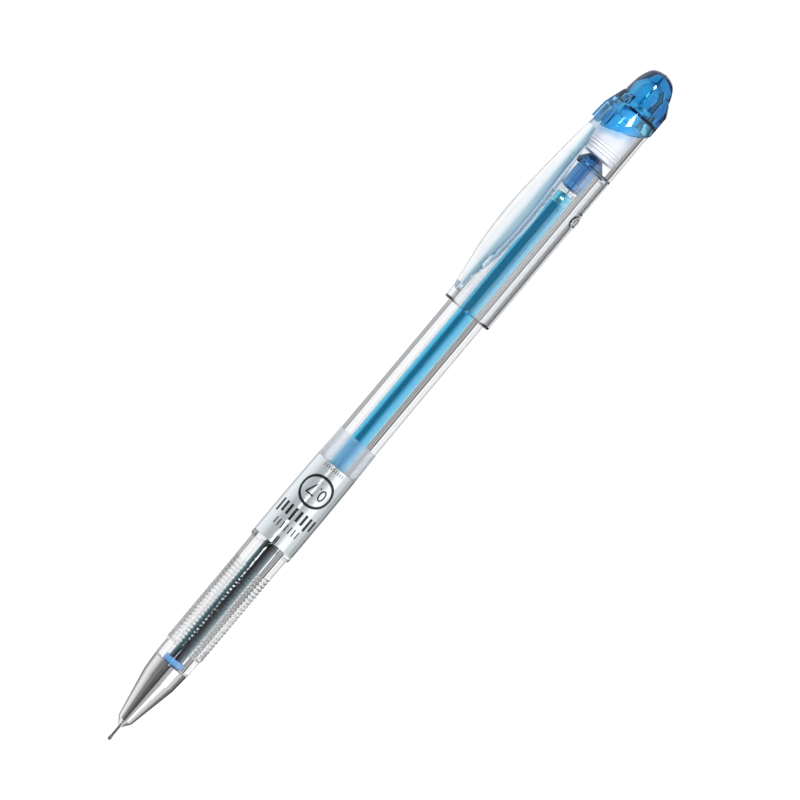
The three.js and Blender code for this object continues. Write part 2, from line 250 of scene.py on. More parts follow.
def turned_mesh(profile, sides=SIDES, lean=None):
    """A closed turned mesh. The profile is (radius, along) points, and closes on itself or on the axis.
    lean(along) is how far forward a row moves on the clip's side."""
    if signed_area(profile) > 0:
        profile = profile[::-1]
    bm = bmesh.new()
    rows = []
    for radius, along in profile:
        if radius < 1e-6:
            rows.append([bm.verts.new((0, along, 0))])
            continue
        shift = lean(along) if lean else 0
        row = []
        for i in range(sides):
            a = 2 * math.pi * i / sides
            across, out = math.sin(a), math.cos(a)
            row.append(bm.verts.new((radius * across, along - shift * out, radius * out)))
        rows.append(row)
    for near, far in zip(rows, rows[1:] + rows[:1]):
        if len(near) == 1 and len(far) == 1:
            continue
        for i in range(sides):
            k = (i + 1) % sides
            corners = [near[i % len(near)], far[i % len(far)], far[k % len(far)], near[k % len(near)]]
            unique = list(dict.fromkeys(corners))
            bm.faces.new(unique)
    return bm


def rounded(points, steps=4):
    """Rounds the corners of a profile. A point is (radius, along) or (radius, along, corner radius). A
    further point close to each end of a corner keeps its shading off the straight walls."""
    out = []
    n = len(points)
    for i, p in enumerate(points):
        here = Vector(p[:2])
        corner = p[2] if len(p) > 2 else 0
        before = Vector(points[i - 1][:2]) - here
        after = Vector(points[(i + 1) % n][:2]) - here
        if not corner or before.length < 1e-9 or after.length < 1e-9:
            out.append(tuple(here))
            continue
        half = before.angle(after) / 2
        back = min(corner / math.tan(half), 0.49 * before.length, 0.49 * after.length)
        start = here + before.normalized() * back
        end = here + after.normalized() * back
        if before.length / 2 - back > 2 * CORNER_HOLD:
            out.append(tuple(start + before.normalized() * CORNER_HOLD))
        for s in range(steps + 1):
            t = s / steps
            out.append(tuple((1 - t) ** 2 * start + 2 * t * (1 - t) * here + t * t * end))
        if after.length / 2 - back > 2 * CORNER_HOLD:
            out.append(tuple(end + after.normalized() * CORNER_HOLD))
    return out


def dense(start, end, step):
    """Points from start to end no further apart than step."""
    a, b = Vector(start), Vector(end)
    n = max(1, math.ceil((b - a).length / step))
    return [tuple(a.lerp(b, i / n)) for i in range(n + 1)]


def smooth_rows(rows, steps):
    """More rows of numbers between the given ones, on a smooth curve through them."""
    out = []
    last = len(rows) - 1
    for i in range(last):
        p0, p1, p2, p3 = (Vector(rows[max(0, min(last, i + k))]) for k in (-1, 0, 1, 2))
        for s in range(steps):
            t = s / steps
            out.append(
                0.5 * (2 * p1 + (p2 - p0) * t + (2 * p0 - 5 * p1 + 4 * p2 - p3) * t**2
                       + (3 * p1 - p0 - 3 * p2 + p3) * t**3)
            )
    out.append(Vector(rows[last]))
    return out


def joined(first, second, operation):
    """The union, difference or intersection of two closed meshes, as a new mesh."""
    objects = []
    for bm in (first, second):
        mesh = bpy.data.meshes.new("solid")
        bm.to_mesh(mesh)
        bm.free()
        obj = bpy.data.objects.new("solid", mesh)
        bpy.context.scene.collection.objects.link(obj)
        objects.append(obj)
    cut = objects[0].modifiers.new("cut", "BOOLEAN")
    cut.object = objects[1]
    cut.operation = operation
    cut.solver = "MANIFOLD"
    evaluated = objects[0].evaluated_get(bpy.context.evaluated_depsgraph_get())
    result = bmesh.new()
    result.from_mesh(evaluated.data)
    for obj in objects:
        mesh = obj.data
        bpy.data.objects.remove(obj)
        bpy.data.meshes.remove(mesh)
    return result


def slab(outline, half_width):
    """A closed slab that runs along the pen, centred on the clip. The outline is (along, height) points."""
    if signed_area(outline) > 0:
        outline = outline[::-1]
    bm = bmesh.new()
    left = [bm.verts.new((-half_width, along, height)) for along, height in outline]
    right = [bm.verts.new((half_width, along, height)) for along, height in outline]
    bm.faces.new(left)
    bm.faces.new(right[::-1])
    n = len(outline)
    for i in range(n):
        k = (i + 1) % n
        bm.faces.new((left[k], left[i], right[i], right[k]))
    return bm


# ---------------------------------------------------------------------------------------------------------
# Node trees
# ---------------------------------------------------------------------------------------------------------
class Tree:
    """Short ways of adding and linking nodes."""

    def __init__(self, tree):
        self.tree = tree

    def node(self, kind, **settings):
        made = self.tree.nodes.new(kind)
        for key, value in settings.items():
            setattr(made, key, value)
        return made

    def feed(self, socket, value):
        if isinstance(value, bpy.types.NodeSocket):
            self.tree.links.new(value, socket)
        else:
            socket.default_value = value

    def math(self, operation, *values):
        made = self.node("ShaderNodeMath", operation=operation)
        for socket, value in zip(made.inputs, values):
            self.feed(socket, value)
        return made.outputs[0]


def geometry_tree(name, sizes):
    """A geometry tree with a mesh in, a material and the named sizes. Returns it with its input node."""
    tree = bpy.data.node_groups.new(name, "GeometryNodeTree")
    tree.interface.new_socket("Geometry", in_out="INPUT", socket_type="NodeSocketGeometry")
    tree.interface.new_socket("Geometry", in_out="OUTPUT", socket_type="NodeSocketGeometry")
    for size in sizes:
        tree.interface.new_socket(size, in_out="INPUT", socket_type="NodeSocketFloat")
    tree.interface.new_socket("Material", in_out="INPUT", socket_type="NodeSocketMaterial")
    t = Tree(tree)
    return t, t.node("NodeGroupInput")


def radial_move_tree(name, sizes, height):
    """A tree that moves a turned skin outwards by height(tree, inputs, angle, radius, along)."""
    t, given = geometry_tree(name, sizes)
    position = t.node("GeometryNodeInputPosition")
    parts = t.node("ShaderNodeSeparateXYZ")
    t.feed(parts.inputs[0], position.outputs[0])
    x, along, z = parts.outputs
    radius = t.math("SQRT", t.math("ADD", t.math("MULTIPLY", x, x), t.math("MULTIPLY", z, z)))
    angle = t.math("ARCTAN2", x, z)
    raised = height(t, given.outputs, angle, radius, along)
    scale = t.math("DIVIDE", raised, t.math("MAXIMUM", radius, 0.001))
    offset = t.node("ShaderNodeCombineXYZ")
    t.feed(offset.inputs[0], t.math("MULTIPLY", x, scale))
    t.feed(offset.inputs[2], t.math("MULTIPLY", z, scale))
    moved = t.node("GeometryNodeSetPosition")
    t.feed(moved.inputs["Geometry"], given.outputs["Geometry"])
    t.feed(moved.inputs["Offset"], offset.outputs[0])
    realized = t.node("GeometryNodeRealizeInstances")
    t.feed(realized.inputs[0], moved.outputs[0])
    painted = t.node("GeometryNodeSetMaterial")
    t.feed(painted.inputs["Geometry"], realized.outputs[0])
    t.feed(painted.inputs["Material"], given.outputs["Material"])
    out = t.node("NodeGroupOutput")
    t.feed(out.inputs[0], painted.outputs[0])
    return t.tree


def between(t, value, low, high):
    """1 where value lies between low and high, else 0."""
    return t.math("MULTIPLY", t.math("GREATER_THAN", value, low), t.math("LESS_THAN", value, high))


def groove_depth(t, given, angle, radius, along):
    """V-shaped grooves round the grip, on the outer skin only."""
    turns = t.math("DIVIDE", t.math("SUBTRACT", along, given["Start"]), given["Pitch"])
    away = t.math("MULTIPLY", t.math("PINGPONG", turns, 0.5), given["Pitch"])
    cut = t.math("MAXIMUM", 0, t.math("SUBTRACT", 1, t.math("DIVIDE", away, given["Half Width"])))
    inside = between(t, along, given["Start"], given["End"])
    skin = t.math("GREATER_THAN", radius, given["Least Radius"])
    depth = t.math("MULTIPLY", cut, t.math("MULTIPLY", -1, given["Depth"]))
    return t.math("MULTIPLY", depth, t.math("MULTIPLY", inside, skin))


def thread_height(t, given, angle, radius, along):
    """A right-handed thread that fades in at its start, and out at its end unless Mouth is 1."""
    round_it = t.math("DIVIDE", angle, 2 * math.pi)
    turns = t.math("SUBTRACT", t.math("DIVIDE", along, given["Pitch"]), round_it)
    wave = t.math("MULTIPLY", t.math("PINGPONG", turns, 0.5), 2)
    fade_in = t.math("MULTIPLY", t.math("SUBTRACT", along, given["Start"]), 2)
    fade_out = t.math("ADD", t.math("MULTIPLY", t.math("SUBTRACT", given["End"], along), 2), given["Mouth"])
    fade = t.math("MINIMUM", 1, t.math("MINIMUM", fade_in, fade_out))
    off_skin = t.math("ABSOLUTE", t.math("SUBTRACT", radius, given["Radius"]))
    near = t.math("LESS_THAN", off_skin, THREAD_REACH)
    inside = between(t, along, given["Start"], t.math("ADD", given["End"], 0.001))
    shown = t.math("MULTIPLY", t.math("MULTIPLY", near, inside), t.math("MAXIMUM", 0, fade))
    return t.math("MULTIPLY", t.math("MULTIPLY", wave, given["Height"]), shown)


GROOVES = radial_move_tree(
    "grip_grooves", ["Start", "End", "Pitch", "Depth", "Half Width", "Least Radius"], groove_depth
)
THREAD = radial_move_tree(
    "screw_thread", ["Start", "End", "Pitch", "Height", "Radius", "Mouth"], thread_height
)


def worked(obj, tree, material, **sizes):
    """Runs a geometry tree on a piece and leaves its result as the piece's plain mesh."""
    modifier = obj.modifiers.new(tree.name, "NODES")
    modifier.node_group = tree
    values = {key.replace("_", " ").title(): value for key, value in sizes.items()}
    for item in tree.interface.items_tree:
        if item.in_out == "INPUT" and item.name in values:
            modifier[item.identifier] = float(values[item.name])
        elif item.in_out == "INPUT" and item.name == "Material":
            modifier[item.identifier] = material
    evaluated = obj.evaluated_get(bpy.context.evaluated_depsgraph_get())
    mesh = bpy.data.meshes.new_from_object(evaluated)
    obj.modifiers.clear()
    plain = obj.data
    obj.data = mesh
    mesh.name = obj.name
    mesh.set_sharp_from_angle(angle=math.radians(WORKED_SHARP_ANGLE))
    bpy.data.meshes.remove(plain)
    return obj


# ---------------------------------------------------------------------------------------------------------
# Materials
# ---------------------------------------------------------------------------------------------------------
def effect_group(name, numbers, build):
    """A shader node group with named number inputs, Factor out. build returns the socket for it."""
    tree = bpy.data.node_groups.new(name, "ShaderNodeTree")
    for number in numbers:
        tree.interface.new_socket(number, in_out="INPUT", socket_type="NodeSocketFloat")
    tree.interface.new_socket("Factor", in_out="OUTPUT", socket_type="NodeSocketFloat")
    t = Tree(tree)
    given = t.node("NodeGroupInput")
    out = t.node("NodeGroupOutput")
    t.feed(out.inputs[0], build(t, given.outputs))
    return tree


def object_place(t, stretch=(1, 1, 1)):
    """Object coordinates in millimetres, stretched."""
    coordinates = t.node("ShaderNodeTexCoord")
    mapping = t.node("ShaderNodeMapping")
    mapping.inputs["Scale"].default_value = [s / MM for s in stretch]
    t.feed(mapping.inputs[0], coordinates.outputs["Object"])
    return mapping.outputs[0]


def build_scuffs(t, given):
    """Fine scratches that run mostly along the pen, broken into patches by a slow noise."""
    lines = t.node("ShaderNodeTexNoise")
    t.feed(lines.inputs["Vector"], object_place(t, (0.15, 1, 1)))
    t.feed(lines.inputs["Scale"], given["Fineness"])
    lines.inputs["Detail"].default_value = 3
    patches = t.node("ShaderNodeTexNoise")
    t.feed(patches.inputs["Vector"], object_place(t))
    patches.inputs["Scale"].default_value = 0.35
    fine = t.node("ShaderNodeMapRange")
    t.feed(fine.inputs["Value"], lines.outputs[0])
    fine.inputs["From Min"].default_value = 0.58
    fine.inputs["From Max"].default_value = 0.72
    return t.math("MULTIPLY", t.math("MULTIPLY", fine.outputs[0], patches.outputs[0]), given["Amount"])


def build_ripple(t, given):
    """The slow unevenness that moulding leaves in plastic."""
    noise = t.node("ShaderNodeTexNoise")
    t.feed(noise.inputs["Vector"], object_place(t, (0.4, 1, 1)))
    t.feed(noise.inputs["Scale"], given["Fineness"])
    noise.inputs["Detail"].default_value = 2
    return t.math("MULTIPLY", noise.outputs[0], given["Amount"])


def build_lathe_lines(t, given):
    """Fine lines round a turned or drawn piece."""
    noise = t.node("ShaderNodeTexNoise")
    t.feed(noise.inputs["Vector"], object_place(t, (1, 0.02, 0.02)))
    t.feed(noise.inputs["Scale"], given["Fineness"])
    noise.inputs["Detail"].default_value = 4
    return t.math("MULTIPLY", noise.outputs[0], given["Amount"])


SCUFFS = effect_group("scuffs", ["Amount", "Fineness"], build_scuffs)
RIPPLE = effect_group("moulding_ripple", ["Amount", "Fineness"], build_ripple)
LATHE_LINES = effect_group("lathe_lines", ["Amount", "Fineness"], build_lathe_lines)


def effect(t, group, amount, fineness):
    """One of the shared effects, placed in a material with its own values."""
    made = t.node("ShaderNodeGroup")
    made.node_tree = group
    made.inputs["Amount"].default_value = amount
    made.inputs["Fineness"].default_value = fineness
    return made.outputs[0]


def finish_material(
    name, base, roughness, group, amount, fineness, bump=0.0, bump_depth=0.02 * MM, **sockets
):
    """A Principled material whose roughness and surface vary with one of the shared effects."""
    material = bpy.data.materials.new(name)
    material.use_nodes = True
    t = Tree(material.node_tree)
    shader = material.node_tree.nodes["Principled BSDF"]
    shader.inputs["Base Color"].default_value = (*base, 1)
    for key, value in sockets.items():
        shader.inputs[key.replace("_", " ").title().replace("Ior", "IOR")].default_value = value
    varied = effect(t, group, amount, fineness)
    t.feed(shader.inputs["Roughness"], t.math("ADD", varied, roughness))
    if bump:
        relief = t.node("ShaderNodeBump")
        relief.inputs["Strength"].default_value = bump
        relief.inputs["Distance"].default_value = bump_depth
        t.feed(relief.inputs["Height"], effect(t, RIPPLE if group is SCUFFS else group, 1, fineness * 0.4))
        t.feed(shader.inputs["Normal"], relief.outputs[0])
    return material


def lets_light_through(material, tint):
    """Lamps shine through clear plastic on to what is behind it, tinted by it."""
    t = Tree(material.node_tree)
    nodes = material.node_tree.nodes
    clear = t.node("ShaderNodeBsdfTransparent")
    clear.inputs[0].default_value = (*tint, 1)
    path = t.node("ShaderNodeLightPath")
    mix = t.node("ShaderNodeMixShader")
    t.feed(mix.inputs[0], path.outputs["Is Shadow Ray"])
    t.feed(mix.inputs[1], nodes["Principled BSDF"].outputs[0])
    t.feed(mix.inputs[2], clear.outputs[0])
    t.feed(nodes["Material Output"].inputs["Surface"], mix.outputs[0])
    return material


def painted_edge_shade_and_sheen(material, edge, start, end):
    """Painted shade at glancing angles: another tint on the base colour that draws the outline of a
    polished or clear piece as painted shade, or as a painted sheen where the tint is lighter.
    """
    t = Tree(material.node_tree)
    shader = material.node_tree.nodes["Principled BSDF"]
    facing = t.node("ShaderNodeLayerWeight")
    share = t.node("ShaderNodeMapRange")
    t.feed(share.inputs["Value"], facing.outputs["Facing"])
    share.inputs["From Min"].default_value = start
    share.inputs["From Max"].default_value = end
    mix = t.node("ShaderNodeMix", data_type="RGBA")
    t.feed(mix.inputs["Factor"], share.outputs[0])
    mix.inputs["A"].default_value = shader.inputs["Base Color"].default_value
    mix.inputs["B"].default_value = (*edge, 1)
    t.feed(shader.inputs["Base Color"], mix.outputs["Result"])
    return material


def color_ramp(t, value, stops):
    """A ramp of colours over value: stops are (place from 0 to 1, colour)."""
    ramp = t.node("ShaderNodeValToRGB")
    t.feed(ramp.inputs[0], value)
    elements = ramp.color_ramp.elements
    while len(elements) > 1:
        elements.remove(elements[-1])
    for i, (place, color) in enumerate(stops):
        element = elements[0] if i == 0 else elements.new(place)
        element.position = place
        element.color = (*color, 1)
    return ramp.outputs[0]


def painted_reflection_by_angle(material, tints):
    """Painted reflection and shade: a colour that turns with the angle of view. The tints are (0 face on to
    1 edge on, colour).
    """
    t = Tree(material.node_tree)
    facing = t.node("ShaderNodeLayerWeight").outputs["Facing"]
    shader = material.node_tree.nodes["Principled BSDF"]
    t.feed(shader.inputs["Base Color"], color_ramp(t, facing, tints))
    return material


def clear_plastic(name, base, ior, roughness=0.004, shade=(0.97, 0.975, 0.98), edge=None):
    """A see-through plastic: shade tints its shadow, and edge is a painted shade at its outline."""
    material = finish_material(
        name, base, roughness, SCUFFS, 0.012, 5, bump=0.012, transmission_weight=1.0, ior=ior
    )
    if edge:
        painted_edge_shade_and_sheen(material, edge, 0.5, 0.95)
    return lets_light_through(material, shade)


def soak(material, color, density):
    """Gives a clear material its depth of colour, per metre of plastic."""
    t = Tree(material.node_tree)
    absorb = t.node("ShaderNodeVolumeAbsorption")
    absorb.inputs["Color"].default_value = (*color, 1)
    absorb.inputs["Density"].default_value = density
    t.feed(material.node_tree.nodes["Material Output"].inputs["Volume"], absorb.outputs[0])
    return material


# The outlines of the clear barrel and cap are darkened at glancing angles: painted shade.
EDGE = (0.2, 0.22, 0.25)
CLEAR = clear_plastic("clear_styrene", (0.97, 0.98, 0.99), 1.56, edge=EDGE)
CAP_CLEAR = clear_plastic("clear_cap_plastic", (0.97, 0.98, 0.99), 1.52, edge=EDGE)
# The clip's edges are tinted dark blue at glancing angles: painted shade.
CLIP_CLEAR = painted_edge_shade_and_sheen(
    clear_plastic("clear_clip_plastic", (0.8, 0.93, 1.0), 1.52), (0.0, 0.14, 0.4), 0.1, 0.7
)
# The face's base colour follows the angle of view: a painted reflection and shade, blue face on, white at a
# slant and grey near the edge, which is more than gloss or glass needs.
CLIP_FACE = painted_reflection_by_angle(
    finish_material(
        "clip_face_painted_reflection", (1.0, 1.0, 1.0), 0.08, SCUFFS, 0.05, 5, bump=0.03, transmission_weight=0.25,
        ior=1.5,
    ),
    [
        (0.06, (0.24, 0.39, 0.5)),
        (0.2, (0.33, 0.53, 0.64)),
        (0.24, (0.47, 0.66, 0.77)),
        (0.3, (0.74, 0.84, 0.9)),
        (0.35, (1.0, 1.0, 1.0)),
        (0.48, (1.0, 1.0, 1.0)),
        (0.58, (0.55, 0.57, 0.6)),
    ],
)
TUBE_CLEAR = clear_plastic("natural_tube", (0.96, 0.985, 1.0), 1.3, roughness=0.03)
# The crown's outline is tinted dark navy at glancing angles: painted shade.
BLUE = soak(
    clear_plastic(
        "blue_tinted_plastic", (0.42, 0.78, 0.97), 1.52, shade=(0.3, 0.75, 0.95), edge=(0.0, 0.04, 0.2)
    ),
    (0.1, 0.7, 0.86),
    700,
)
# The tail plug's outline is tinted darker blue at glancing angles: painted shade.
PLUG_BLUE = soak(
    clear_plastic(
        "blue_plug_plastic", (0.45, 0.7, 0.92), 1.52, shade=(0.4, 0.6, 0.9), edge=(0.05, 0.2, 0.4)
    ),
    (0.1, 0.55, 0.78),
    500,
)
INK = soak(
    clear_plastic("blue_ink", (0.8, 0.97, 1.0), 1.33, shade=(0.05, 0.4, 0.6)), (0.0, 0.873, 0.953), 2700
)
COLLAR = finish_material("milky_blue_plastic", (0.09, 0.3, 0.62), 0.3, SCUFFS, 0.1, 4, bump=0.1)
FOLLOWER = soak(
    clear_plastic("follower_gel", (0.7, 0.93, 1.0), 1.36, roughness=0.06, shade=(0.5, 0.8, 0.9)),
    (0.0, 0.85, 0.93),
    900,
)
# The feed's near-black colour is its own; its lighter teal outline at glancing angles is a painted sheen.
FEED = painted_edge_shade_and_sheen(
    finish_material(
        "smoked_feed_plastic", (0.003, 0.008, 0.011), 0.3, SCUFFS, 0.1, 4, bump=0.01, ior=1.33
    ),
    (0.07, 0.2, 0.25), 0.1, 0.65,
)
HOLDER = finish_material("dark_holder_plastic", (0.01, 0.02, 0.05), 0.2, SCUFFS, 0.15, 4, bump=0.1)
# The metal's outline is darkened at glancing angles: a painted dark reflection.
CHROME = painted_edge_shade_and_sheen(
    finish_material(
        "plated_metal", (0.82, 0.82, 0.83), 0.1, LATHE_LINES, 0.07, 2.5, bump=0.04, bump_depth=0.01 * MM,
        metallic=1.0,
    ),
    (0.02, 0.02, 0.025), 0.4, 0.7,
)
STEEL = finish_material(
    "drawn_steel", (0.22, 0.22, 0.23), 0.25, LATHE_LINES, 0.15, 8, bump=0.1, metallic=1.0
)
BALL = finish_material("carbide_ball", (0.2, 0.2, 0.22), 0.1, SCUFFS, 0.1, 12, bump=0.05, metallic=1.0)
# The film's outline is darkened at glancing angles: painted shade.
FILM = painted_edge_shade_and_sheen(
    finish_material(
        "silver_film", (0.78, 0.85, 0.88), 0.22, SCUFFS, 0.15, 2.5, bump=0.05, metallic=0.6
    ),
    (0.12, 0.13, 0.15), 0.55, 0.85,
)
MARGIN = clear_plastic("frosted_film", (0.95, 0.97, 1.0), 1.5, roughness=0.3, shade=(0.85, 0.88, 0.9))
PRINT = finish_material("black_print", (0.008, 0.009, 0.012), 0.35, SCUFFS, 0.3, 6, bump=0.1)
WHITE = finish_material("white_moulding", (0.76, 0.77, 0.82), 0.35, SCUFFS, 0.2, 3, bump=0.15)
SEAL = finish_material("soft_seal", (0.6, 0.6, 0.58), 0.6, RIPPLE, 0.2, 3, bump=0.2)


# ---------------------------------------------------------------------------------------------------------
# Refill
# ---------------------------------------------------------------------------------------------------------
def make_writing_ball():
    bm = bmesh.new()
    bmesh.ops.create_icosphere(bm, subdivisions=4, radius=BALL_RADIUS)
    bmesh.ops.translate(bm, verts=bm.verts, vec=(0, BALL_RADIUS, 0))
    settle(piece("rolling_ball", bm, BALL), "ball", "writing_ball")


def make_needle():
    canal = 0.11
    socket = BALL_RADIUS + 0.012
    profile = rounded(
        [
            (BALL_RADIUS - 0.01, 0.15),
            (SOCKET_RADIUS - 0.03, 0.15, 0.02),
            (SOCKET_RADIUS, 0.28, 0.1),
            (SOCKET_RADIUS, 0.6, 0.15),
            (NEEDLE_RADIUS, 0.9, 0.15),
            (NEEDLE_RADIUS, NEEDLE_END),
            (canal, NEEDLE_END),
            (canal, 0.7),
            (socket, 0.52),
            (socket, BALL_RADIUS),
        ]
    )
    settle(piece("needle", turned_mesh(profile, THIN_SIDES), STEEL), "refill", "needle_tube")


def make_tip_holder():
    canal = 0.5
    stem = 1.5
    profile = rounded(
        [
            (NEEDLE_RADIUS + 0.02, 4.6),
            (0.5, 4.6, 0.1),
            (1, 6.6, 0.5),
            (1.4, 10.4, 0.3),
            (2.3, 11.4, 0.1),
            (2.3, SPIGOT_FRONT - 0.05),
            (stem, SPIGOT_FRONT - 0.05),
            (stem, FEED_START - 0.05),
            (canal, FEED_START - 0.05),
            (canal, NEEDLE_END + 0.1),
            (NEEDLE_RADIUS + 0.02, NEEDLE_END + 0.1),
        ]
    )
    settle(piece("needle_holder", turned_mesh(profile, THIN_SIDES), HOLDER), "refill", "tip_holder")


def make_collar():
    inner, outer = 1.55, BORE_RADIUS - 0.06
    front, back = 17, 18.1
    profile = rounded([(inner, front, 0.1), (outer, front, 0.12), (outer, back, 0.12), (inner, back, 0.1)])
    settle(piece("blue_collar", turned_mesh(profile, THIN_SIDES), COLLAR), "refill", "refill_collar")


def make_feed():
    bore = 0.8
    plug = TUBE_BORE - 0.03
    profile = rounded(
        [
            (bore, FEED_START),
            (FEED_RADIUS, FEED_START, 0.1),
            (FEED_RADIUS, FEED_SHOULDER, 0.1),
            (plug, FEED_SHOULDER + 0.15),
            (plug, FEED_END),
            (bore, FEED_END),
        ]
    )
    settle(piece("feed", turned_mesh(profile, THIN_SIDES), FEED), "refill", "feed_tube")


def make_ink_tube():
    profile = rounded(
        [
            (TUBE_BORE, TUBE_START),
            (TUBE_RADIUS, TUBE_START, 0.08),
            (TUBE_RADIUS, TUBE_END, 0.08),
            (TUBE_BORE, TUBE_END),
        ]
    )
    settle(piece("refill_tube", turned_mesh(profile, THIN_SIDES), TUBE_CLEAR), "refill", "ink_tube")


def make_ink():
    wetted = TUBE_BORE + 0.01
    slim = 0.77
    profile = [
        (0, FEED_START + 0.1),
        (slim, FEED_START + 0.1),
        (slim, FEED_END + 0.1),
        (wetted, FEED_END + 0.12),
        (wetted, INK_END - 0.1),
        (wetted * 0.7, INK_END - 0.02),
        (0, INK_END),
    ]
    settle(piece("ink", turned_mesh(profile, THIN_SIDES), INK), "refill", "ink_column")


def make_follower():
    wetted = TUBE_BORE + 0.01
    profile = [
        (0, INK_END + 0.03),
        (wetted, INK_END + 0.03),
        (wetted, FOLLOWER_END - 0.3),
        (wetted * 0.6, FOLLOWER_END - 0.08),
        (0, FOLLOWER_END),
    ]
    settle(piece("follower", turned_mesh(profile, THIN_SIDES), FOLLOWER), "refill", "ink_follower")


# ---------------------------------------------------------------------------------------------------------
# Nose and barrel
# ---------------------------------------------------------------------------------------------------------
def make_nose_cone():
    thread_bore = SPIGOT_RADIUS + THREAD_PLAY
    profile = rounded(
        [
            (0.34, CONE_FRONT),
            (0.5, CONE_FRONT, 0.04),
            (0.66, CONE_FRONT + 0.4, 0.3),
            (CONE_TIP_RADIUS, CONE_FRONT + 1.35, 0.6),
            (CONE_BREAK_RADIUS, CONE_BREAK, 1.2),
            (CONE_BACK_RADIUS, CONE_BACK, 0.08),
            (thread_bore + THREAD_HEIGHT, CONE_BACK),
        ],
        steps=6,
    )
    profile += dense((thread_bore, THREAD_END), (thread_bore, THREAD_START), THREAD_STEP)
    profile += [
        (thread_bore, SPIGOT_FRONT - 0.4),
        (2.5, 11.6),
        (1.2, 6),
        (CONE_TIP_RADIUS - 0.65, CONE_FRONT + 1.7),
        (0.34, CONE_FRONT + 1.1),
    ]
    cone = piece("metal_cone", turned_mesh(profile), CHROME)
    worked(
        cone, THREAD, CHROME, start=THREAD_START, end=THREAD_END, pitch=THREAD_PITCH, height=THREAD_HEIGHT,
        radius=thread_bore, mouth=1,
    )
    settle(cone, "nose", "nose_cone")


def make_barrel():
    profile = [(BORE_RADIUS, SPIGOT_FRONT), (SPIGOT_RADIUS, SPIGOT_FRONT)]
    profile += dense((SPIGOT_RADIUS, THREAD_START), (SPIGOT_RADIUS, THREAD_END), THREAD_STEP)
    profile += rounded(
        [
            (SPIGOT_RADIUS, BARREL_SHOULDER),
            (BARREL_SHOULDER_RADIUS, BARREL_SHOULDER, 0.1),
            (BARREL_WINDOW_RADIUS, BARREL_WINDOW_END, 0.1),
            (GRIP_RADIUS, BARREL_WINDOW_END + 0.4, 0.1),
        ]
    )
    profile += dense((GRIP_RADIUS, GRIP_START), (GRIP_RADIUS, GRIP_END), GRIP_PITCH / GROOVE_ROWS)
    profile += rounded(
        [
            (GRIP_RADIUS, GRIP_END + 0.2),
            (BARREL_RADIUS, CAP_STOP - 0.02, 0.05),
            (LABEL_RADIUS, CAP_STOP, 0.05),
            (CAP_STOP_RADIUS, CAP_STOP + 0.5, 0.2),
            (CAP_STOP_RADIUS, LABEL_START - 0.2, 0.05),
            (LABEL_RADIUS, LABEL_START - 0.1),
            (LABEL_RADIUS, LABEL_TAPER),
            (LABEL_END_RADIUS, LABEL_END),
            (MARGIN_END_RADIUS, MARGIN_END),
            (BARREL_RADIUS, BARREL_TAPER_END),
            (BARREL_RADIUS, BARREL_END, 0.25),
            (BORE_RADIUS, BARREL_END, 0.1),
        ]
    )
    barrel = piece("clear_barrel", turned_mesh(profile), CLEAR)
    worked(
        barrel, GROOVES, CLEAR, start=GRIP_START, end=GRIP_END, pitch=GRIP_PITCH, depth=GRIP_DEPTH,
        half_width=GROOVE_HALF_WIDTH, least_radius=GRIP_RADIUS - 0.2,
    )
    worked(
        barrel, THREAD, CLEAR, start=THREAD_START, end=THREAD_END, pitch=THREAD_PITCH, height=THREAD_HEIGHT,
        radius=SPIGOT_RADIUS, mouth=0,
    )
    settle(barrel, "barrel", "barrel")


def film_mesh(stations):
    """A film wrapped on the label seat: stations are (radius of the barrel, along)."""
    inner = [(radius + FILM_GAP, along) for radius, along in stations]
    outer = [(radius + FILM_GAP + FILM_THICKNESS, along) for radius, along in stations]
    return turned_mesh(inner + outer[::-1])


def make_films():
    label = film_mesh(
        [
            (LABEL_RADIUS, LABEL_START),
            (LABEL_RADIUS, LABEL_TAPER),
            (LABEL_END_RADIUS, LABEL_END - FILM_GAP),
        ]
    )
    settle(piece("label", label, FILM), "barrel", "label_film")
    margin = film_mesh([(LABEL_END_RADIUS, LABEL_END + FILM_GAP), (MARGIN_END_RADIUS, MARGIN_END)])
    settle(piece("label_margin", margin, MARGIN), "barrel", "film_margin")


def make_tail_plug():
    """The plug has a wide bore in front, and a vent through its middle."""
    stem = BORE_RADIUS - 0.05
    bore, vent = 1.1, 0.5
    flange = BARREL_END + 0.05
    profile = rounded(
        [
            (bore, PLUG_FRONT, 0.1),
            (stem, PLUG_FRONT + 0.3, 0.1),
            (stem, flange),
            (PLUG_FLANGE_RADIUS, flange, 0.05),
            (PLUG_FLANGE_RADIUS, BARREL_END + 0.4, 0.1),
            (1.35, PLUG_END, 0.2),
            (vent, PLUG_END),
            (vent, PLUG_FRONT + 1.5),
            (bore, PLUG_FRONT + 1.5),
        ]
    )
    settle(piece("blue_tail_plug", turned_mesh(profile, THIN_SIDES), PLUG_BLUE), "barrel", "tail_plug")


# ---------------------------------------------------------------------------------------------------------
# Cap
# ---------------------------------------------------------------------------------------------------------
def skirt_lean(along):
    """The slanted edge where the crown's skirt meets the cap's wall."""
    return SKIRT_SLANT if abs(along - SKIRT_EDGE) < 0.3 else 0


def detent(angle):
    """A low dished button on the cap's wall, angle degrees round the pen from the clip."""
    button = turned_mesh(
        rounded(
            [
                (0, -0.5),
                (DETENT_RADIUS, -0.5),
                (DETENT_RADIUS, DETENT_HEIGHT - 0.1, 0.2),
                (DETENT_RADIUS - 0.25, DETENT_HEIGHT, 0.15),
                (DETENT_RADIUS - 0.45, DETENT_HEIGHT * 0.5, 0.15),
                (0, DETENT_HEIGHT * 0.5),
            ]
        ),
        48,
    )
    outward = Matrix.Rotation(math.radians(90), 4, "X")
    round_pen = Matrix.Rotation(math.radians(angle), 4, "Y")
    button.transform(round_pen @ Matrix.Translation((0, DETENT_ALONG, CAP_RADIUS - 0.05)) @ outward)
    return button


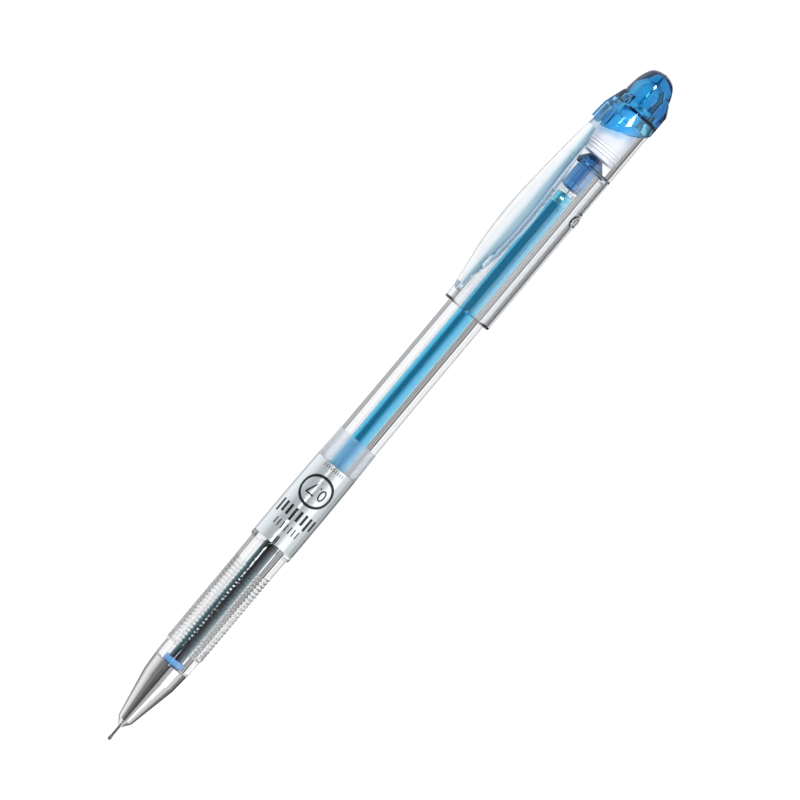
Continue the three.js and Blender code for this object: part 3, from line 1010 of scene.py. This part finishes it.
def make_cap():
    profile = rounded(
        [
            (CAP_BORE + 0.2, CAP_MOUTH, 0.08),
            (CAP_RADIUS, CAP_MOUTH, 0.3),
            (CAP_RADIUS, CAP_NECK_START, 0.3),
            (CAP_NECK_RADIUS, CAP_NECK_START + 0.5, 0.3),
            (CAP_NECK_RADIUS, SKIRT_EDGE - 0.15),
            (CAP_SPIGOT_RADIUS, SKIRT_EDGE - 0.1),
            (CAP_SPIGOT_RADIUS, CAP_SPIGOT_END - 0.1),
            (CAP_TOP_RADIUS, CAP_SPIGOT_END + 0.6),
            (CAP_TOP_RADIUS, CAP_TOP),
            (0, CAP_TOP),
            (0, CAP_POCKET_END),
            (CAP_POCKET_RADIUS, CAP_POCKET_END),
            (CAP_POCKET_RADIUS, INNER_CAP_SHOULDER + 0.3),
            (CAP_SEAT_BORE, INNER_CAP_SHOULDER + 0.2),
            (CAP_SEAT_BORE, CAP_SHOULDER + 0.3, 0.1),
            (CAP_BORE, CAP_SHOULDER, 0.1),
            (CAP_BORE, CAP_MOUTH + 0.5, 0.2),
        ]
    )
    shell = turned_mesh(profile, lean=skirt_lean)
    for angle in DETENT_ANGLES:
        shell = joined(shell, detent(angle), "UNION")
    settle(piece("clear_cap", shell, CAP_CLEAR), "cap", "cap_body")


def make_inner_cap():
    """The liner of the cap: an open mouth with ribs round it, and a closed end for the tip."""
    slim = INNER_CAP_RADIUS - 0.12
    end = CAP_POCKET_RADIUS - 0.1
    end_wall = CAP_POCKET_END - 0.3
    ribs = []
    for along in INNER_CAP_RIBS:
        ribs += [(slim, along - 0.18), (INNER_CAP_RADIUS + 0.05, along, 0.08)]
    profile = rounded(
        [(2.5, INNER_CAP_FRONT), (slim, INNER_CAP_FRONT, 0.1)]
        + ribs
        + [
            (slim, 132.8),
            (INNER_CAP_RADIUS, 133.2),
            (INNER_CAP_RADIUS, INNER_CAP_SHOULDER, 0.1),
            (end, INNER_CAP_SHOULDER + 0.1),
            (end, end_wall),
            (0, end_wall),
            (0, end_wall - 0.25),
            (INNER_CAP_BORE, end_wall - 0.25),
            (INNER_CAP_BORE, 135.8),
            (1.7, 134.2),
        ]
    )
    settle(piece("white_inner_cap", turned_mesh(profile), WHITE), "cap", "inner_cap")


CROWN_SKIRT = [
    # radius, along, lean
    (SKIRT_RADIUS - 0.08, SKIRT_EDGE - 0.0005, SKIRT_SLANT),
    (SKIRT_RADIUS, SKIRT_EDGE + 0.08, SKIRT_SLANT),
    (SKIRT_RADIUS, 139.8, 4.4),
    (SKIRT_RADIUS - 0.05, 139.95, 4.4),
]
CROWN_DOME = [
    (3.85, 143.3, 2.3),
    (3.66, 144.7, 0.9),
    (3.3, 146.2, 0.3),
    (2.45, 147.85, 0),
    (1.3, 148.6, 0),
    (0, PEN_LENGTH, 0),
]
CROWN_HOLLOW = [
    (0, 146.4, 0),
    (1.4, 145.9, 0),
    (2.2, 144.6, 0),
    (2.2, CAP_TOP + 0.15, 0),
    (CAP_TOP_RADIUS + 0.15, CAP_TOP + 0.1, 0),
    (CAP_TOP_RADIUS + 0.15, 140.55, 0),
    (CAP_SPIGOT_RADIUS + 0.06, CAP_SPIGOT_END, 0),
    (CAP_SPIGOT_RADIUS + 0.06, SKIRT_EDGE - 0.001, SKIRT_SLANT),
]


def make_crown():
    dome = [tuple(row) for row in smooth_rows(CROWN_DOME, 6)]
    rows = CROWN_SKIRT + dome + CROWN_HOLLOW
    lean_at = {round(along, 4): lean for radius, along, lean in rows}
    profile = [(max(0, radius), along) for radius, along, lean in rows]
    body = turned_mesh(profile, lean=lambda along: lean_at[round(along, 4)])
    boss = slab(
        [
            (135.3, 4.4),
            (135.3, 5.85),
            (138.6, 5.5),
            (142.4, 3.9),
            (142.4, 3),
            (140.8, 3.5),
            (140.2, CAP_SPIGOT_RADIUS + 0.1),
            (135.6, CAP_SPIGOT_RADIUS + 0.1),
        ],
        1.55,
    )
    notch = slab([(134, 4.95), (138.7, 4.8), (138.7, 7), (134, 7)], 1.1)
    whole = joined(joined(body, boss, "UNION"), notch, "DIFFERENCE")
    settle(piece("blue_crown", whole, BLUE), "cap", "crown")


LEAF = [
    # along, half-width, height of the outer face, height of the inner face, share of the rim
    (97.55, 0.35, 5.4, NUB_UNDERSIDE + 0.2, 0),
    (97.75, 0.65, 5.58, NUB_UNDERSIDE + 0.05, 0),
    (98.3, 0.95, 5.76, NUB_UNDERSIDE, 0),
    (99.4, 1.17, 5.92, NUB_UNDERSIDE, 0),
    (100.5, 1.3, 6.02, NUB_UNDERSIDE + 0.02, 0),
    (101.6, 1.42, 6.12, 5.32, 0.5),
    (103.4, 1.7, 6.25, 5.5, 1),
    (106, 2.2, 6.38, 5.66, 1),
    (109, 2.62, CLIP_HEIGHT, CLIP_HEIGHT - CLIP_THICKNESS, 1),
    (113.5, CLIP_HALF_WIDTH - 0.01, CLIP_HEIGHT, CLIP_HEIGHT - CLIP_THICKNESS, 1),
    (117, 2.8, CLIP_HEIGHT, CLIP_HEIGHT - CLIP_THICKNESS, 1),
    (121, 2.45, 6.38, 5.65, 1),
    (126, 2, 6.25, 5.5, 1),
    (131, 1.55, 6, 5.27, 0.8),
    (134.4, 1.05, 5.82, 5.12, 0),
    (136, 0.95, 5.74, 5.08, 0),
    (CLIP_ROOT, 0.95, 5.6, 5.02, 0),
]


def leaf_section(along, half, outer, inner, rim, steps=7):
    """One cross-section of the leaf: a nearly flat panel with drooping, rounded edges. A rim under each
    edge reaches down until it just clears the cap."""
    side_bevel, face_bevel, side_height = 0.06, 0.07, 0.35
    droop = CLIP_DROOP * half / CLIP_HALF_WIDTH
    plain = outer - droop - min(side_height, (outer - inner) / 2)
    near_cap = math.sqrt((CAP_RADIUS + CLIP_RIM_GAP) ** 2 - half**2)
    edge = plain + rim * (near_cap - plain)
    points = []
    for i in range(2 * steps + 1):
        x = (i - steps) / steps
        points.append((x * (half - side_bevel), outer - droop * abs(x) ** 3))
    points += [(half, outer - droop - face_bevel), (half, edge + face_bevel)]
    for i in range(2 * steps + 1):
        x = (steps - i) / steps
        points.append((x * (half - side_bevel), inner + (edge - inner) * abs(x) ** (3 + rim)))
    points += [(-half, edge + face_bevel), (-half, outer - droop - face_bevel)]
    return [(x, along, height) for x, height in points]


def make_clip():
    bm = bmesh.new()
    rows = [[bm.verts.new(p) for p in leaf_section(*station)] for station in smooth_rows(LEAF, 5)]
    n = len(rows[0])
    for near, far in zip(rows, rows[1:]):
        for i in range(n):
            k = (i + 1) % n
            bm.faces.new((near[i], near[k], far[k], far[i]))
    bm.faces.new(rows[0][::-1])
    bm.faces.new(rows[-1])
    bmesh.ops.recalc_face_normals(bm, faces=bm.faces)
    for face in bm.faces:
        middle = face.calc_center_median()
        face.material_index = int(face.normal.z > 0.6 and CLIP_FACE_START < middle.y < CLIP_FACE_END)
    leaf = piece("clip_leaf", bm, CLIP_CLEAR, WORKED_SHARP_ANGLE)
    leaf.data.materials.append(CLIP_FACE)
    settle(leaf, "clip", "clip")


# ---------------------------------------------------------------------------------------------------------
# Label print: plain strokes, wrapped on the film
# ---------------------------------------------------------------------------------------------------------
PRINT_HEIGHT = 0.01
# How far round the pen the print is from the middle of the clip, so that it faces the viewer.
PRINT_FACING = math.radians(CAMERA_ELEVATION) + math.asin(-OUT.z)
TALL_STROKE = 0.5
DIGIT_STROKE = 0.28


def film_radius(along):
    """The outside of the label film."""
    taper = max(0, min(1, (along - LABEL_TAPER) / (LABEL_END - LABEL_TAPER)))
    seat = LABEL_RADIUS - (LABEL_RADIUS - LABEL_END_RADIUS) * taper
    return seat + FILM_GAP + FILM_THICKNESS


def on_film(side, along, height):
    """A point of the print: side is the way round the film, from the middle of the print upwards."""
    radius = film_radius(along)
    angle = PRINT_FACING + side / radius
    return ((radius + height) * math.sin(angle), along, (radius + height) * math.cos(angle))


def print_stroke(bm, points, width, closed=False):
    """One closed ribbon of print along (side, along) points."""
    n = len(points)
    rows = []
    for i, (side, along) in enumerate(points):
        before = points[i - 1] if closed or i else points[0]
        after = points[(i + 1) % n] if closed or i < n - 1 else points[-1]
        across = Vector((before[1] - after[1], after[0] - before[0])).normalized() * width / 2
        row = []
        for k, layer in ((1, -1), (-1, -1), (-1, 1), (1, 1)):
            place = on_film(side + k * across.x, along + k * across.y, layer * PRINT_HEIGHT)
            row.append(bm.verts.new(place))
        rows.append(row)
    pairs = list(zip(rows, rows[1:]))
    if closed:
        pairs.append((rows[-1], rows[0]))
    else:
        bm.faces.new(rows[0])
        bm.faces.new(rows[-1][::-1])
    for near, far in pairs:
        for k in range(4):
            bm.faces.new((near[k - 1], near[k], far[k], far[k - 1]))


def ellipse(side, along, half_side, half_along, steps=48):
    turns = [2 * math.pi * i / steps for i in range(steps)]
    return [(side + half_side * math.cos(a), along + half_along * math.sin(a)) for a in turns]


def print_bars(bm, count, spacing, start, end, width, tall=()):
    """A row of short bars side by side round the film. The tall ones start a little earlier."""
    for i in range(count):
        side = (i - (count - 1) / 2) * spacing
        first = start - TALL_STROKE if i in tall else start
        print_stroke(bm, [(side, first), (side, end)], width)


def make_print():
    """Bars in place of words, and the number 0.7 in a ring."""
    bm = bmesh.new()
    print_stroke(bm, dense((0, LABEL_START + 0.1), (0, LABEL_START + 1.6), 0.5), 0.6)
    print_bars(bm, 7, 0.8, 46.9, 48.3, 0.22)
    print_bars(bm, 8, 1.08, 49.4, 51.5, 0.5, tall=(0, 3, 6))
    middle = 55.6
    print_stroke(bm, ellipse(0, middle, 3.0, 2.8, 72), 0.5, closed=True)
    print_stroke(bm, ellipse(1.3, middle, 0.5, 0.95), DIGIT_STROKE, closed=True)
    print_stroke(bm, [(0.42, middle + 0.8), (0.42, middle + 1.08)], DIGIT_STROKE)
    print_stroke(bm, dense((0.05, middle - 0.95), (-1.6, middle - 0.95), 0.4), DIGIT_STROKE)
    print_stroke(bm, dense((-1.45, middle - 0.82), (-0.6, middle + 1.08), 0.4), 0.3)
    print_bars(bm, 9, 0.48, LABEL_END - 1, LABEL_END - 0.4, 0.12)
    bmesh.ops.recalc_face_normals(bm, faces=bm.faces)
    settle(piece("label_print", bm, PRINT), "barrel")


# ---------------------------------------------------------------------------------------------------------
# Table, light and camera
# ---------------------------------------------------------------------------------------------------------
def brightness_bands(t, value, bands):
    """The brightness that bands of (place, brightness) give at value, in the unit of the places."""
    first, last = bands[0][0], bands[-1][0]
    share = t.math("DIVIDE", t.math("SUBTRACT", value, first), last - first)
    return color_ramp(t, share, [((place - first) / (last - first), (glow,) * 3) for place, glow in bands])


def light_table():
    """A glowing table: plain white to look at, with a dark front in reflections, and a painted shadow line
    behind the pen for whatever sees it through plastic, which shows as painted shade down the middle of
    clear pieces."""
    material = bpy.data.materials.new("light_table")
    material.use_nodes = True
    shader = material.node_tree.nodes["Principled BSDF"]
    shader.inputs["Base Color"].default_value = (0.15, 0.15, 0.15, 1)
    shader.inputs["Roughness"].default_value = 0.9
    shader.inputs["Specular IOR Level"].default_value = 0.0
    shader.inputs["Emission Color"].default_value = (1, 1, 1, 1)
    t = Tree(material.node_tree)
    parts = t.node("ShaderNodeSeparateXYZ")
    t.feed(parts.inputs[0], t.node("ShaderNodeTexCoord").outputs["Object"])
    behind_pen = t.math("DIVIDE", parts.outputs["Y"], MM)
    path = t.node("ShaderNodeLightPath")
    not_reflected = t.math("LESS_THAN", path.outputs["Glossy Depth"], 0.5)
    front = t.math("MAXIMUM", not_reflected, brightness_bands(t, behind_pen, FRONT_BANDS))
    glow = t.math("MULTIPLY", front, brightness_bands(t, behind_pen, SHADOW_LINE_BANDS))
    t.feed(shader.inputs["Emission Strength"], t.math("MAXIMUM", glow, path.outputs["Is Camera Ray"]))
    return material


def make_stage():
    """The table under the pen, which isn't part of it."""
    bm = bmesh.new()
    bmesh.ops.create_grid(bm, x_segments=1, y_segments=1, size=TABLE_HALF_WIDTH)
    mesh = bpy.data.meshes.new("table")
    bm.to_mesh(mesh)
    bm.free()
    mesh.materials.append(light_table())
    table = bpy.data.objects.new("table", mesh)
    bpy.context.scene.collection.objects.link(table)


def soft_lamp(name, place, size, power):
    """A rectangular lamp that faces the middle of the pen."""
    lamp = bpy.data.lights.new(name, "AREA")
    lamp.shape = "RECTANGLE"
    lamp.size, lamp.size_y = size
    lamp.energy = power
    obj = bpy.data.objects.new(name, lamp)
    bpy.context.scene.collection.objects.link(obj)
    obj.location = place
    obj.rotation_euler = (-obj.location).to_track_quat("-Z", "Y").to_euler()


def make_light():
    """A studio whose brightness changes only round the pen's length, and the lamps."""
    world = bpy.data.worlds.new("studio")
    bpy.context.scene.world = world
    world.use_nodes = True
    t = Tree(world.node_tree)
    background = world.node_tree.nodes["Background"]
    parts = t.node("ShaderNodeSeparateXYZ")
    t.feed(parts.inputs[0], t.node("ShaderNodeTexCoord").outputs["Generated"])
    round_pen = t.math("ARCTAN2", parts.outputs["Z"], t.math("MULTIPLY", parts.outputs["Y"], -1))
    bands = brightness_bands(t, t.math("DEGREES", round_pen), STUDIO_BANDS)
    path = t.node("ShaderNodeLightPath")
    mix = t.node("ShaderNodeMix", data_type="RGBA")
    t.feed(mix.inputs["Factor"], path.outputs["Is Camera Ray"])
    t.feed(mix.inputs["A"], bands)
    mix.inputs["B"].default_value = (1, 1, 1, 1)
    t.feed(background.inputs["Color"], mix.outputs["Result"])
    for lamp in LAMPS:
        soft_lamp(*lamp)


def make_camera():
    elevation = math.radians(CAMERA_ELEVATION)
    back = Vector((0, -math.cos(elevation), math.sin(elevation)))
    upper = Vector((0, math.sin(elevation), math.cos(elevation)))
    slope = math.radians(PEN_SLOPE)
    right = math.cos(slope) * ALONG + math.sin(slope) * upper
    up = math.sin(slope) * ALONG - math.cos(slope) * upper
    aim = AXIS_START + MM * (CAMERA_AIM_ALONG * ALONG + CAMERA_AIM_UP * upper)
    data = bpy.data.cameras.new("camera")
    data.lens = CAMERA_LENS
    data.sensor_width = 36
    data.clip_start = 0.01
    data.clip_end = 20
    camera = bpy.data.objects.new("camera", data)
    bpy.context.scene.collection.objects.link(camera)
    turn = Matrix((right, up, back)).transposed().to_4x4()
    camera.matrix_world = Matrix.Translation(aim + back * CAMERA_DISTANCE * MM) @ turn
    bpy.context.scene.camera = camera


def set_view():
    """Enough bounces for light to pass through the cap, the barrel and the refill and out again."""
    scene = bpy.context.scene
    scene.view_settings.view_transform = "Standard"
    scene.cycles.max_bounces = CLEAR_BOUNCES
    scene.cycles.transmission_bounces = CLEAR_BOUNCES
    scene.cycles.transparent_max_bounces = CLEAR_BOUNCES
    scene.cycles.glossy_bounces = 8
    scene.cycles.diffuse_bounces = 3


make_writing_ball()
make_needle()
make_tip_holder()
make_collar()
make_feed()
make_ink_tube()
make_ink()
make_follower()
make_nose_cone()
make_barrel()
make_films()
make_print()
make_tail_plug()
make_cap()
make_inner_cap()
make_crown()
make_clip()
frame["nodes"]["tip_seal"].data.materials.clear()
frame["nodes"]["tip_seal"].data.materials.append(SEAL)
make_stage()
make_light()
make_camera()
set_view()
